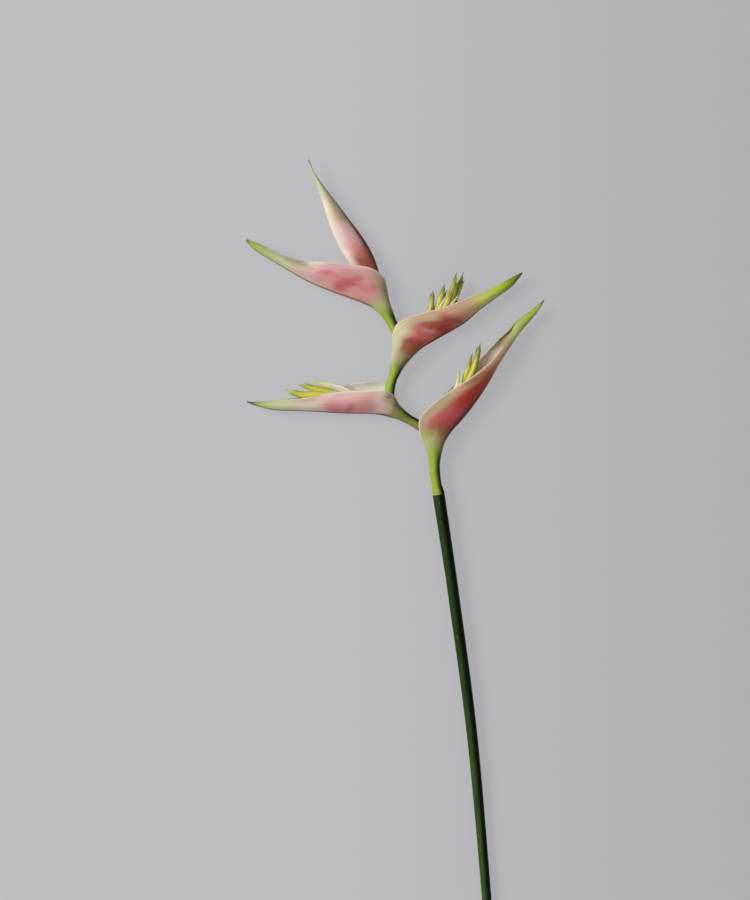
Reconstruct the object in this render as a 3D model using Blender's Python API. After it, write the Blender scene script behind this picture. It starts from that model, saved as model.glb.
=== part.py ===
"""Lobster claw heliconia: one cut flower, lying on its side on a flat surface.

The flower is modelled round its collar, the ring where the lime green flower
axis comes out of the dark stem: +X is right, +Y runs up the flower and +Z
is up from the surface. Sizes are in millimetres and MM makes metres of them.
"""
import math

import bmesh
import bpy
import numpy as np
from mathutils import Vector

MM = 0.001

# Lie of the whole flower
CUT_END_Y = -400.0            # cut end of the stem, below the collar
FIRST_TIP_Y = 234.5           # tip of the last bract, above the collar
LEFT_TIP_X = -135.0
RIGHT_TIP_X = 74.1
MID_HEIGHT = 9.0              # the flower's middle plane above the surface

GAP = 0.3                     # clearance between neighbouring pieces
WELD = 0.001                  # points this close are one point

# Stem: (x, y, radius) from the collar to the cut end
STEM = [(0.0, 0.0, 4.25), (7.0, -46.0, 3.95), (11.0, -74.0, 3.85),
        (23.5, -168.0, 3.65), (33.9, -284.0, 3.35), (43.0, CUT_END_Y, 3.35)]
STEM_LEAN = math.atan2(STEM[1][0], -STEM[1][1])
STEM_SIDES = 16
STEM_STEPS = 6                # rings for each row of the stem
SOCKET_RADIUS = 3.4
SOCKET_DEPTH = 10.0
SOCKET_SIDES = 24

# Flower axis, foot: (distance up the stem's line from the collar, radius)
FOOT = [(-SOCKET_DEPTH + GAP, SOCKET_RADIUS - GAP), (GAP, SOCKET_RADIUS - GAP),
        (GAP + 0.1, 4.15), (2.0, 4.3)]
# Flower axis, free part: (x, y, radius) from the foot to its end in bract 5
RACHIS = [(-1.1, 5.0, 3.6), (-2.2, 11.0, 3.65), (-2.9, 18.0, 3.85), (-2.9, 25.0, 3.45),
          (-2.9, 31.0, 3.2), (-4.3, 38.0, 3.2), (-8.2, 43.9, 3.2), (-13.7, 48.0, 3.35),
          (-19.5, 51.5, 3.3), (-25.6, 55.2, 2.75), (-31.0, 60.8, 2.8), (-33.8, 67.0, 3.1),
          (-34.0, 74.0, 3.5), (-32.4, 80.5, 3.4), (-29.9, 87.0, 2.95), (-28.0, 94.0, 3.0),
          (-26.9, 101.0, 3.0), (-27.4, 108.0, 3.1), (-30.3, 115.0, 3.5), (-33.3, 120.8, 3.5),
          (-36.3, 126.8, 2.8), (-39.6, 133.5, 2.8), (-41.9, 140.0, 2.7), (-43.6, 147.0, 2.2)]
RACHIS_SIDES = 12
RACHIS_STEPS = 3

# Bracts: one row for each station from the base to the tip, with the keel (x, y), the rim
# (x, y), the half width of the belly, the half width of the mouth and the lean of the
# mouth towards +Z in degrees
BRACTS = {
    "bract_1": [(1.9, 27.3, -7.7, 27.3, 4.8, 0.4, 0.0),
                (4.6, 36.5, -10.6, 36.5, 6.4, 0.6, 0.0),
                (9.6, 44.4, -13.4, 43.0, 8.0, 3.9, 0.0),
                (15.5, 51.0, -13.0, 53.5, 9.3, 5.4, 2.0),
                (22.3, 59.2, -3.4, 63.4, 9.9, 6.4, 6.0),
                (29.0, 68.5, 8.2, 72.8, 9.6, 6.8, 12.0),
                (35.2, 78.0, 19.6, 81.6, 8.4, 6.8, 24.0),
                (41.6, 90.2, 32.2, 92.6, 7.4, 6.8, 34.0),
                (49.0, 102.6, 43.2, 105.0, 6.2, 5.8, 37.0),
                (54.8, 110.4, 50.1, 112.9, 4.4, 3.8, 35.0),
                (60.8, 117.6, 55.3, 119.6, 2.8, 0.8, 28.0),
                (69.8, 128.1, 66.6, 129.7, 1.7, 0.6, 24.0),
                (74.2, 135.6, 73.7, 135.9, 0.35, 0.2, 20.0)],
    "bract_2": [(-27.5, 51.7, -24.6, 59.6, 4.3, 0.4, 0.0),
                (-33.0, 53.4, -28.2, 63.6, 6.0, 1.0, 0.0),
                (-38.5, 55.1, -30.4, 68.2, 7.8, 4.7, 2.0),
                (-45.0, 56.1, -36.6, 74.2, 9.4, 7.2, 12.0),
                (-53.0, 56.3, -46.5, 75.5, 10.2, 7.8, 23.0),
                (-63.0, 56.5, -59.0, 74.2, 10.2, 8.0, 25.0),
                (-74.0, 57.0, -72.0, 71.4, 9.1, 7.2, 22.0),
                (-86.0, 57.8, -85.0, 68.6, 7.0, 5.2, 18.0),
                (-100.0, 58.3, -99.6, 66.8, 5.0, 3.2, 12.0),
                (-115.0, 58.8, -114.8, 65.2, 3.2, 1.4, 6.0),
                (-126.6, 61.4, -126.6, 64.4, 1.6, 0.7, 2.0),
                (-134.2, 64.0, -134.2, 64.7, 0.35, 0.2, 0.0)],
    "bract_3": [(-25.0, 87.4, -34.0, 88.9, 4.55, 0.4, 0.0),
                (-20.0, 94.0, -33.0, 96.0, 6.4, 0.6, 0.0),
                (-12.8, 101.2, -32.2, 106.0, 8.2, 2.4, 0.0),
                (-4.0, 106.8, -31.8, 113.6, 9.2, 4.6, 0.0),
                (4.0, 111.4, -26.6, 121.0, 9.6, 6.0, 2.0),
                (11.5, 115.6, -12.0, 126.4, 9.4, 6.6, 4.0),
                (19.5, 120.8, 3.0, 130.6, 8.4, 6.2, 6.0),
                (29.6, 129.6, 18.6, 136.6, 6.6, 4.6, 6.0),
                (41.0, 137.9, 35.0, 142.6, 4.4, 2.4, 4.0),
                (51.0, 145.7, 48.0, 149.2, 2.4, 1.0, 2.0),
                (58.9, 154.7, 58.5, 155.2, 0.35, 0.2, 0.0)],
    "bract_4": [(-39.4, 123.4, -31.9, 127.9, 4.4, 0.4, 0.0),
                (-45.6, 129.8, -34.4, 135.8, 6.3, 0.6, 0.0),
                (-53.0, 133.6, -36.0, 144.0, 8.2, 1.4, 0.0),
                (-62.0, 137.0, -39.0, 152.2, 9.4, 4.4, 0.0),
                (-71.0, 140.2, -48.0, 157.7, 9.6, 7.2, 0.0),
                (-81.0, 144.2, -64.0, 160.4, 9.0, 7.4, 2.0),
                (-92.0, 149.1, -81.0, 162.2, 7.4, 4.6, 4.0),
                (-104.0, 155.9, -97.5, 163.6, 5.2, 2.2, 4.0),
                (-116.5, 163.3, -112.6, 168.4, 3.2, 1.0, 2.0),
                (-127.5, 170.8, -125.4, 173.8, 1.7, 0.6, 0.0),
                (-134.9, 177.7, -134.6, 178.2, 0.35, 0.2, 0.0)],
    "bract_5": [(-38.7, 144.6, -46.9, 143.4, 4.1, 0.4, 0.0),
                (-41.0, 152.4, -53.0, 149.4, 5.0, 0.5, 0.0),
                (-43.6, 161.0, -60.4, 158.4, 5.6, 0.8, 0.0),
                (-47.8, 170.6, -67.2, 168.6, 6.0, 1.4, 0.0),
                (-54.6, 181.6, -72.6, 179.2, 6.1, 1.8, 0.0),
                (-62.4, 191.8, -77.2, 191.4, 5.6, 1.8, 0.0),
                (-71.1, 203.4, -81.4, 204.6, 4.6, 1.4, 0.0),
                (-79.8, 214.8, -85.4, 217.0, 3.0, 0.9, 0.0),
                (-87.0, 225.4, -88.8, 227.0, 1.6, 0.6, 0.0),
                (-90.8, 234.2, -91.4, 234.6, 0.35, 0.2, 0.0)],
}
BRACT_WALL = 0.9
WALL_TO_BELLY = 0.4           # the thickest wall, as a share of the half width of the belly
WALL_TO_HEIGHT = 0.3          # and of the height from the keel to the rim
NARROWEST_MOUTH = 0.2
KEEL_CREASE = 1.5             # 1 is a round keel, 2 a straight-sided one
CREASE_STARTS = 0.05          # share of the length where the keel starts to sharpen
CREASE_ENDS = 0.35
POINT_STARTS = 0.70           # share of the length where the tip starts to fill up
POINT_ENDS = 0.92
POINT_NARROWS = 0.5           # how far the hollow narrows there, as a share of its width
POINT_RISES = 0.8             # how far its floor rises there, as a share of its depth
BRACT_STEPS = 3               # rings for each station
OUTER_STEPS = 8               # faces from the keel to the rim
INNER_STEPS = 6
LINING_STEPS = 60
SHARP_ANGLE = 40.0            # degrees

# Florets: the point that each bunch heads for from the flower axis, and its florets'
# routes from the bunch to their tips, each with the widest radius
FLORETS = {
    "florets_1": ((0.0, 52.0, 0.0), [
        ([(8.0, 62.0, 0.5), (16.5, 73.0, 2.0), (23.6, 85.5, 3.6), (29.2, 105.0, 5.0)], 2.3),
        ([(6.0, 61.0, 1.0), (12.5, 71.0, 0.5), (19.0, 82.5, 1.6), (24.4, 97.5, 2.5)], 1.9),
        ([(4.0, 61.0, 1.0), (9.0, 69.0, 2.0), (13.2, 77.5, 2.5), (13.9, 88.2, 3.0)], 1.5)]),
    "florets_2": ((-46.0, 64.6, 0.0), [
        ([(-54.0, 65.0, 0.5), (-68.0, 67.0, 1.5), (-84.0, 69.8, 2.4), (-107.1, 73.2, 3.0)], 2.3),
        ([(-53.0, 66.0, 0.5), (-65.0, 69.2, 0.5), (-80.0, 73.4, 1.0), (-98.4, 77.0, 1.0)], 2.2),
        ([(-52.0, 66.5, 1.0), (-60.0, 70.0, 2.0), (-72.0, 74.8, 2.8), (-88.4, 78.4, 3.5)], 2.0)]),
    "florets_3": ((-18.5, 110.0, 0.0), [
        ([(-13.5, 114.5, 0.5), (-9.5, 120.5, 1.5), (-5.8, 129.0, 1.5), (-3.8, 142.2, 1.0)], 1.9),
        ([(-12.5, 113.5, 0.0), (-6.0, 119.5, -1.0), (-0.6, 129.5, -1.0), (4.4, 146.2, 0.0)], 2.2),
        ([(-11.5, 112.5, 0.0), (-2.0, 119.5, 1.2), (6.2, 132.0, 1.6), (13.2, 154.0, 2.2)], 2.4),
        ([(-10.5, 111.5, 0.0), (1.0, 119.5, -0.6), (10.4, 134.0, -1.0), (18.2, 155.0, -1.4)], 2.3)]),
}
FLORET_ROOT = 0.45            # a floret's radius at its root, as a share of the widest
FLORET_WIDEST = 0.68          # where it is widest, as a share of its length
FLORET_STEPS = 6
FLORET_RINGS = 16
FLORET_SIDES = 8
POINT_RADIUS = 0.35
SEPAL_LEAVES = 0.66           # where its side sepals leave it, as a share of its length
SEPAL_ENDS = 0.94
SEPAL_SPREAD = 1.9            # how far their tips stand out from it
SEPAL_BEND = 1.5              # 1 is a straight sepal; a larger number bends it out late
SEPAL_LIFT = 0.3              # how far their tips rise, as a share of the spread
SEPAL_RADIUS = 0.62           # as a share of the floret's widest radius
SEPAL_ROOT = 0.7              # a sepal's radius at its root, as a share of the widest
SEPAL_WIDEST = 0.4            # where it is widest, as a share of its length
SEPAL_SIDES = 6
STUB_RADIUS = 2.2
STUB = [(0.0, 0.7), (0.3, 1.0), (0.7, 1.0), (1.0, 0.6)]    # (share of its length, of its radius)
STUB_SIDES = 10

# Finishes: colour, roughness
FINISHES = {
    "stem_green": ((0.016, 0.040, 0.014), 0.45),
    "lime_green": ((0.250, 0.400, 0.055), 0.45),
    "bract_pink": ((0.560, 0.190, 0.170), 0.50),
    "floret_yellow": ((0.560, 0.540, 0.070), 0.55),
}


def clear_scene():
    for thing in list(bpy.data.objects):
        bpy.data.objects.remove(thing)


def finish(name):
    """The plain material of that name, made once."""
    found = bpy.data.materials.get(name)
    if found:
        return found
    colour, roughness = FINISHES[name]
    made = bpy.data.materials.new(name)
    made.use_nodes = True
    shader = made.node_tree.nodes["Principled BSDF"]
    shader.inputs["Base Color"].default_value = (*colour, 1.0)
    shader.inputs["Roughness"].default_value = roughness
    shader.inputs["Metallic"].default_value = 0.0
    return made


def spline(rows, steps):
    """Points of a smooth curve through the rows, with `steps` to each stretch."""
    rows = np.array(rows, dtype=float)
    ends = np.vstack([2 * rows[0] - rows[1], rows, 2 * rows[-1] - rows[-2]])
    points = []
    for i in range(1, len(ends) - 2):
        before, start, end, after = ends[i - 1:i + 3]
        for t in np.arange(steps) / steps:
            points.append(0.5 * (2 * start + (end - before) * t
                                 + (2 * before - 5 * start + 4 * end - after) * t ** 2
                                 + (3 * start - before - 3 * end + after) * t ** 3))
    points.append(rows[-1])
    return np.array(points)


def evenly(points, count):
    """The given number of points at even distances along the line of points."""
    run = np.concatenate([[0.0], np.cumsum(np.linalg.norm(np.diff(points, axis=0), axis=1))])
    even = np.linspace(0.0, run[-1], count)
    return np.column_stack([np.interp(even, run, column) for column in points.T])


def ease(value, start, end):
    """0 up to the start, 1 from the end, and smooth between them."""
    share = min(max((value - start) / (end - start), 0.0), 1.0)
    return share * share * (3 - 2 * share)


def add_object(name, data, colour, collection, parent):
    """An object in the flower's collection, hung from the collar's empty."""
    made = bpy.data.objects.new(name, data)
    collection.objects.link(made)
    made.parent = parent
    data.materials.append(finish(colour))
    return made


def mesh_from_rings(name, rings):
    """A closed solid lofted through rings of equally many points, with both ends capped."""
    shape = bmesh.new()
    loops = [[shape.verts.new(Vector(point) * MM) for point in ring] for ring in rings]
    count = len(loops[0])
    for lower, upper in zip(loops, loops[1:]):
        for i in range(count):
            j = (i + 1) % count
            shape.faces.new((lower[i], lower[j], upper[j], upper[i]))
    shape.faces.new(loops[0][::-1])
    shape.faces.new(loops[-1])
    bmesh.ops.recalc_face_normals(shape, faces=shape.faces)
    mesh = bpy.data.meshes.new(name)
    shape.to_mesh(mesh)
    shape.free()
    return mesh


def tube_curve(name, points, radii, sides):
    """A round tube along the points, with its own radius at each."""
    curve = bpy.data.curves.new(name, "CURVE")
    curve.dimensions = "3D"
    curve.bevel_depth = MM
    curve.bevel_resolution = sides // 2 - 2
    curve.use_fill_caps = True
    line = curve.splines.new("POLY")
    line.points.add(len(points) - 1)
    for spot, point, radius in zip(line.points, points, radii):
        spot.co = (*(Vector(point) * MM), 1.0)
        spot.radius = radius
    return curve


def welded_mesh(curve_object):
    """The curve as a closed mesh; the curve's object is removed."""
    graph = bpy.context.evaluated_depsgraph_get()
    mesh = bpy.data.meshes.new_from_object(curve_object.evaluated_get(graph))
    shape = bmesh.new()
    shape.from_mesh(mesh)
    bmesh.ops.remove_doubles(shape, verts=shape.verts, dist=WELD * MM)
    shape.to_mesh(mesh)
    shape.free()
    bpy.data.objects.remove(curve_object)
    return mesh


def make_stem(flower, cutters, collar):
    """The long stem, which sinks to the surface at its cut end, with the axis's socket."""
    path = spline(STEM, STEM_STEPS)
    end_radius = STEM[-1][2]
    drop = (MID_HEIGHT - end_radius) / -CUT_END_Y
    points = [(x, y, y * drop) for x, y, _ in path]
    curve = tube_curve("stem_tube", points, path[:, 2], STEM_SIDES)
    tube = bpy.data.objects.new("stem_tube", curve)
    flower.objects.link(tube)
    stem = add_object("stem", welded_mesh(tube), "stem_green", flower, collar)

    bpy.ops.mesh.primitive_cylinder_add(vertices=SOCKET_SIDES, radius=SOCKET_RADIUS * MM,
                                        depth=2 * SOCKET_DEPTH * MM,
                                        rotation=(math.radians(90), 0, STEM_LEAN))
    socket = bpy.context.active_object
    socket.name = "stem_socket"
    for home in list(socket.users_collection):
        home.objects.unlink(socket)
    cutters.objects.link(socket)
    socket.parent = collar
    socket.hide_render = True
    socket.display_type = "WIRE"
    cut = stem.modifiers.new("socket", "BOOLEAN")
    cut.operation = "DIFFERENCE"
    cut.object = socket


def rachis_path():
    """The flower axis as rows of (x, y, radius)."""
    foot = [(-up * math.sin(STEM_LEAN), up * math.cos(STEM_LEAN), radius) for up, radius in FOOT]
    return np.vstack([foot[:-1], spline([foot[-1], *RACHIS], RACHIS_STEPS)])


def make_rachis(flower, collar):
    """The zigzag flower axis that the bracts grow on."""
    path = rachis_path()
    points = [(x, y, 0.0) for x, y, _ in path]
    curve = tube_curve("rachis", points, path[:, 2], RACHIS_SIDES)
    add_object("rachis", curve, "lime_green", flower, collar)


def cheek(belly, height, mouth, crease, steps):
    """One cheek's outer profile as (across, up), from the keel to the rim."""
    share = min(mouth / belly, 1.0)
    end = math.pi - math.asin(share ** (1 / crease))
    angle = np.linspace(0.0, end, steps + 1)
    across = belly * np.sin(angle) ** crease
    up = height * (1 - np.cos(angle)) / (1 - math.cos(end))
    return np.column_stack([across, up])


def lining(belly, height, mouth, crease, wall, steps):
    """The cheek's inner profile: the outer one moved in by the wall, from keel to rim."""
    fine = cheek(belly, height, mouth, crease, LINING_STEPS)
    along = np.gradient(fine, axis=0)
    along /= np.linalg.norm(along, axis=1)[:, None]
    inner = fine + wall * np.column_stack([-along[:, 1], along[:, 0]])
    first = np.nonzero(inner[:, 0] <= 0)[0].max() + 1
    before, after = inner[first - 1], inner[first]
    keel = before + (after - before) * before[0] / (before[0] - after[0])
    return evenly(np.vstack([keel, inner[first:]]), steps + 1)


def bract_ring(station, share):
    """One cross-section of a bract, a closed C-shaped loop of points."""
    keel, rim, (belly, mouth, lean) = station[0:2], station[2:4], station[4:7]
    chord = rim - keel
    length = np.linalg.norm(chord)
    lean = math.radians(lean)
    height = length / math.cos(lean)
    crease = 1 + (KEEL_CREASE - 1) * ease(share, CREASE_STARTS, CREASE_ENDS)
    wall = min(BRACT_WALL, WALL_TO_BELLY * belly, WALL_TO_HEIGHT * height)
    fill = ease(share, POINT_STARTS, POINT_ENDS)

    outer = cheek(belly, height, mouth, crease, OUTER_STEPS)
    inner = lining(belly, height, mouth, crease, wall, INNER_STEPS)
    inner[:, 0] *= 1 - POINT_NARROWS * fill
    inner[:, 1] = height - (height - inner[:, 1]) * (1 - POINT_RISES * fill)

    mirror = np.array([-1.0, 1.0])
    loop = np.vstack([outer[::-1], outer[1:] * mirror, inner[::-1] * mirror, inner[1:]])
    chord_way = np.array([*(chord / length), 0.0])
    upward = np.array([0.0, 0.0, 1.0])
    up = chord_way * math.cos(lean) + upward * math.sin(lean)
    side = upward * math.cos(lean) - chord_way * math.sin(lean)
    middle = np.array([*((keel + rim) / 2), 0.0])
    points = middle + np.outer(loop[:, 1] - height / 2, up) + np.outer(loop[:, 0], side)
    points[:, 2] = np.maximum(points[:, 2], -MID_HEIGHT)
    return points


def make_bract(name, stations, flower, collar):
    """A boat-shaped bract: a sheath round the axis that opens into a folded shell."""
    rows = spline(stations, BRACT_STEPS)
    rows[:, 5] = np.clip(rows[:, 5], NARROWEST_MOUTH, None)
    shares = np.linspace(0.0, 1.0, len(rows))
    rings = [bract_ring(row, share) for row, share in zip(rows, shares)]
    mesh = mesh_from_rings(name, rings)
    mesh.shade_smooth()
    mesh.set_sharp_from_angle(angle=math.radians(SHARP_ANGLE))
    add_object(name, mesh, "bract_pink", flower, collar)


def taper(shares, root, widest, swells_until):
    """Radii that swell from the root to the widest and then narrow to a point."""
    radii = []
    for share in shares:
        if share < swells_until:
            radii.append(root + (widest - root) * ease(share, 0.0, swells_until))
        else:
            left = (share - swells_until) / (1 - swells_until)
            radii.append(max(widest * (1 - left ** 2), POINT_RADIUS))
    return radii


def floret_tubes(name, points, widest):
    """A floret's body and its two side sepals, which leave it and stand out at the tip."""
    shares = np.linspace(0.0, 1.0, len(points))
    widths = taper(shares, FLORET_ROOT * widest, widest, FLORET_WIDEST)
    yield tube_curve(name, points, widths, FLORET_SIDES)
    run = points[-1] - points[-4]
    across = np.array([-run[1], run[0], 0.0]) / math.hypot(run[0], run[1])
    lift = np.array([0.0, 0.0, SEPAL_LIFT])
    inside = (shares >= SEPAL_LEAVES) & (shares <= SEPAL_ENDS)
    stretch = np.linspace(0.0, 1.0, inside.sum())
    radius = SEPAL_RADIUS * widest
    widths = taper(stretch, SEPAL_ROOT * radius, radius, SEPAL_WIDEST)
    for side in (-1, 1):
        away = np.outer(stretch ** SEPAL_BEND, (across * side + lift) * SEPAL_SPREAD)
        yield tube_curve(f"{name}_sepal", points[inside] + away, widths, SEPAL_SIDES)


def make_florets(name, heading, florets, flower, collar):
    """One bract's bunch of florets, fused with the short stub that they grow on."""
    path = rachis_path()
    nearest = path[np.argmin(np.linalg.norm(path[:, :2] - heading[:2], axis=1))]
    centre = Vector((nearest[0], nearest[1], 0.0))
    ahead = (Vector(heading) - centre).normalized()
    seat = centre + ahead * (nearest[2] + GAP)
    loose = bpy.data.collections.new(name + "_loose")
    bpy.context.scene.collection.children.link(loose)
    for route, widest in florets:
        line = spline([seat + ahead * STUB_RADIUS, heading, *route], FLORET_STEPS)
        for curve in floret_tubes(name, evenly(line, FLORET_RINGS), widest):
            tube = bpy.data.objects.new(curve.name, curve)
            loose.objects.link(tube)
            solid = bpy.data.objects.new(curve.name, welded_mesh(tube))
            loose.objects.link(solid)

    reach = (Vector(heading) - seat).length
    axis = [seat + ahead * reach * share for share, _ in STUB]
    radii = [STUB_RADIUS * share for _, share in STUB]
    stub = bpy.data.objects.new(name, tube_curve(name, axis, radii, STUB_SIDES))
    flower.objects.link(stub)
    core = bpy.data.objects.new(name + "_core", welded_mesh(stub))
    flower.objects.link(core)
    join = core.modifiers.new("florets", "BOOLEAN")
    join.operation = "UNION"
    join.operand_type = "COLLECTION"
    join.collection = loose
    join.solver = "MANIFOLD"
    graph = bpy.context.evaluated_depsgraph_get()
    fused = bpy.data.meshes.new_from_object(core.evaluated_get(graph))
    bpy.data.objects.remove(core)
    for piece in list(loose.objects):
        bpy.data.objects.remove(piece)
    bpy.data.collections.remove(loose)
    add_object(name, fused, "floret_yellow", flower, collar)


def main():
    clear_scene()
    flower = bpy.data.collections.new("lobster_claw_heliconia")
    cutters = bpy.data.collections.new("cutters")
    for collection in (flower, cutters):
        bpy.context.scene.collection.children.link(collection)
    collar = bpy.data.objects.new("collar", None)
    collar.location = Vector((-(LEFT_TIP_X + RIGHT_TIP_X) / 2,
                              -(FIRST_TIP_Y + CUT_END_Y) / 2, MID_HEIGHT)) * MM
    flower.objects.link(collar)

    make_stem(flower, cutters, collar)
    make_rachis(flower, collar)
    for name, stations in BRACTS.items():
        make_bract(name, stations, flower, collar)
    for name, (heading, florets) in FLORETS.items():
        make_florets(name, heading, florets, flower, collar)


main()
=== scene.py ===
"""The looks of a cut lobster claw heliconia that lies on a pale table, seen from above.

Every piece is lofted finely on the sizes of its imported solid, which it replaces; a few of
the sizes are refined by up to about 2 mm. Sizes are in millimetres, measured from the
collar, where the lime green flower axis leaves the dark stem, and MM makes metres of them.
"""
import math

import bmesh
import bpy
import numpy as np
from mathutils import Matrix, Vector


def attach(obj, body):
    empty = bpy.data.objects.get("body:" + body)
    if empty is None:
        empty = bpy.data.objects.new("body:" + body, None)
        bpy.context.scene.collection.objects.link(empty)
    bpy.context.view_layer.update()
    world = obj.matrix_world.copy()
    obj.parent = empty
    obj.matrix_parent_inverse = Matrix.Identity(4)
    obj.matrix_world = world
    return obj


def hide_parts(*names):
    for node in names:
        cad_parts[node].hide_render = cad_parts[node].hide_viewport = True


MM = 0.001

# Lie of the whole flower
CUT_END_Y = -400.0
FIRST_TIP_Y = 234.5
LEFT_TIP_X = -135.0
RIGHT_TIP_X = 74.1
MID_HEIGHT = 9.0
COLLAR = np.array([-(LEFT_TIP_X + RIGHT_TIP_X) / 2, -(FIRST_TIP_Y + CUT_END_Y) / 2, MID_HEIGHT])

# Stem: (x, y, radius) from the collar to the cut end
STEM = [(0, 0, 4.25), (7, -46, 3.95), (11, -74, 3.85),
        (23.5, -168, 3.65), (33.9, -284, 3.35), (43, CUT_END_Y, 3.35)]
STEM_LEAN = math.atan2(STEM[1][0], -STEM[1][1])
STEM_STEPS = 34
STEM_SIDES = 96
STEM_RIBS = 24
RIB_HEIGHT = 0.035
RIB_VARIES = 0.3  # the share that comes and goes down the stem
RIB_VARIES_BY = 0.021  # radians for each mm
STEM_SWELLS = [(0.05, 2, 0.013), (0.03, 5, -0.03)]  # (height, waves round, radians a mm)
LIP = [(-5.0, 3.3), (-0.9, 3.45), (-0.45, 3.75), (-0.6, 4.1), (-1.15, 4.27)]  # (up the stem, radius)
LIP_SLANT = -0.5  # below 0, the lip sinks at its right
LIP_SLANT_FROM = -4.0  # up the stem
SLANTED_RINGS = 5  # rings below the lip over which it fades
SLANT_BELOW = 0.8  # its share at the first of them
CUT_RINGS = 14
CUT_INNERMOST = 0.94  # how far in the last ring lies
CUT_EDGE = 0.985  # the first ring's share of the radius
CUT_SUNK = 0.12
CUT_CROWN = 0.5
CUT_ROUGHNESS = (-0.14, 0.10)
CUT_ROUGHENS = 6  # how fast it grows from the edge inwards
CUT_CHART = (1.005, 1.055)  # along the stem's chart, past the skin

# Flower axis: (distance up the stem's line, radius) at the foot, then (x, y, radius)
FOOT = [(-4.4, 3.1), (-1.3, 3.2), (-0.9, 3.9), (-0.3, 4.22), (0.5, 4.25), (1.1, 4.05), (1.8, 4.12),
        (2.6, 3.9), (3.4, 3.72)]
RACHIS = [
    (-1.1, 5, 3.6), (-2.2, 11, 3.65), (-2.9, 18, 3.85), (-2.9, 25, 3.45), (-2.9, 31, 3.2),
    (-4.3, 38, 3.2), (-8.2, 43.9, 3.2), (-13.7, 48, 3.35), (-19.5, 51.5, 3.3), (-25.6, 55.2, 2.75),
    (-31, 60.8, 2.8), (-33.8, 67, 3.1), (-34, 74, 3.5), (-32.4, 80.5, 3.4), (-29.9, 87, 2.95),
    (-28, 94, 3), (-26.9, 101, 3), (-27.4, 108, 3.1), (-30.3, 115, 3.5), (-33.3, 120.8, 3.5),
    (-36.3, 126.8, 2.8), (-39.6, 133.5, 2.8), (-41.9, 140, 2.7), (-43.6, 147, 2.2)
]
RACHIS_STEPS = 9
RACHIS_SIDES = 72
FLUTES = 18
FLUTE_HEIGHT = 0.03
AXIS_SWELLS = [(0.04, 3, 0.05)]

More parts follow.
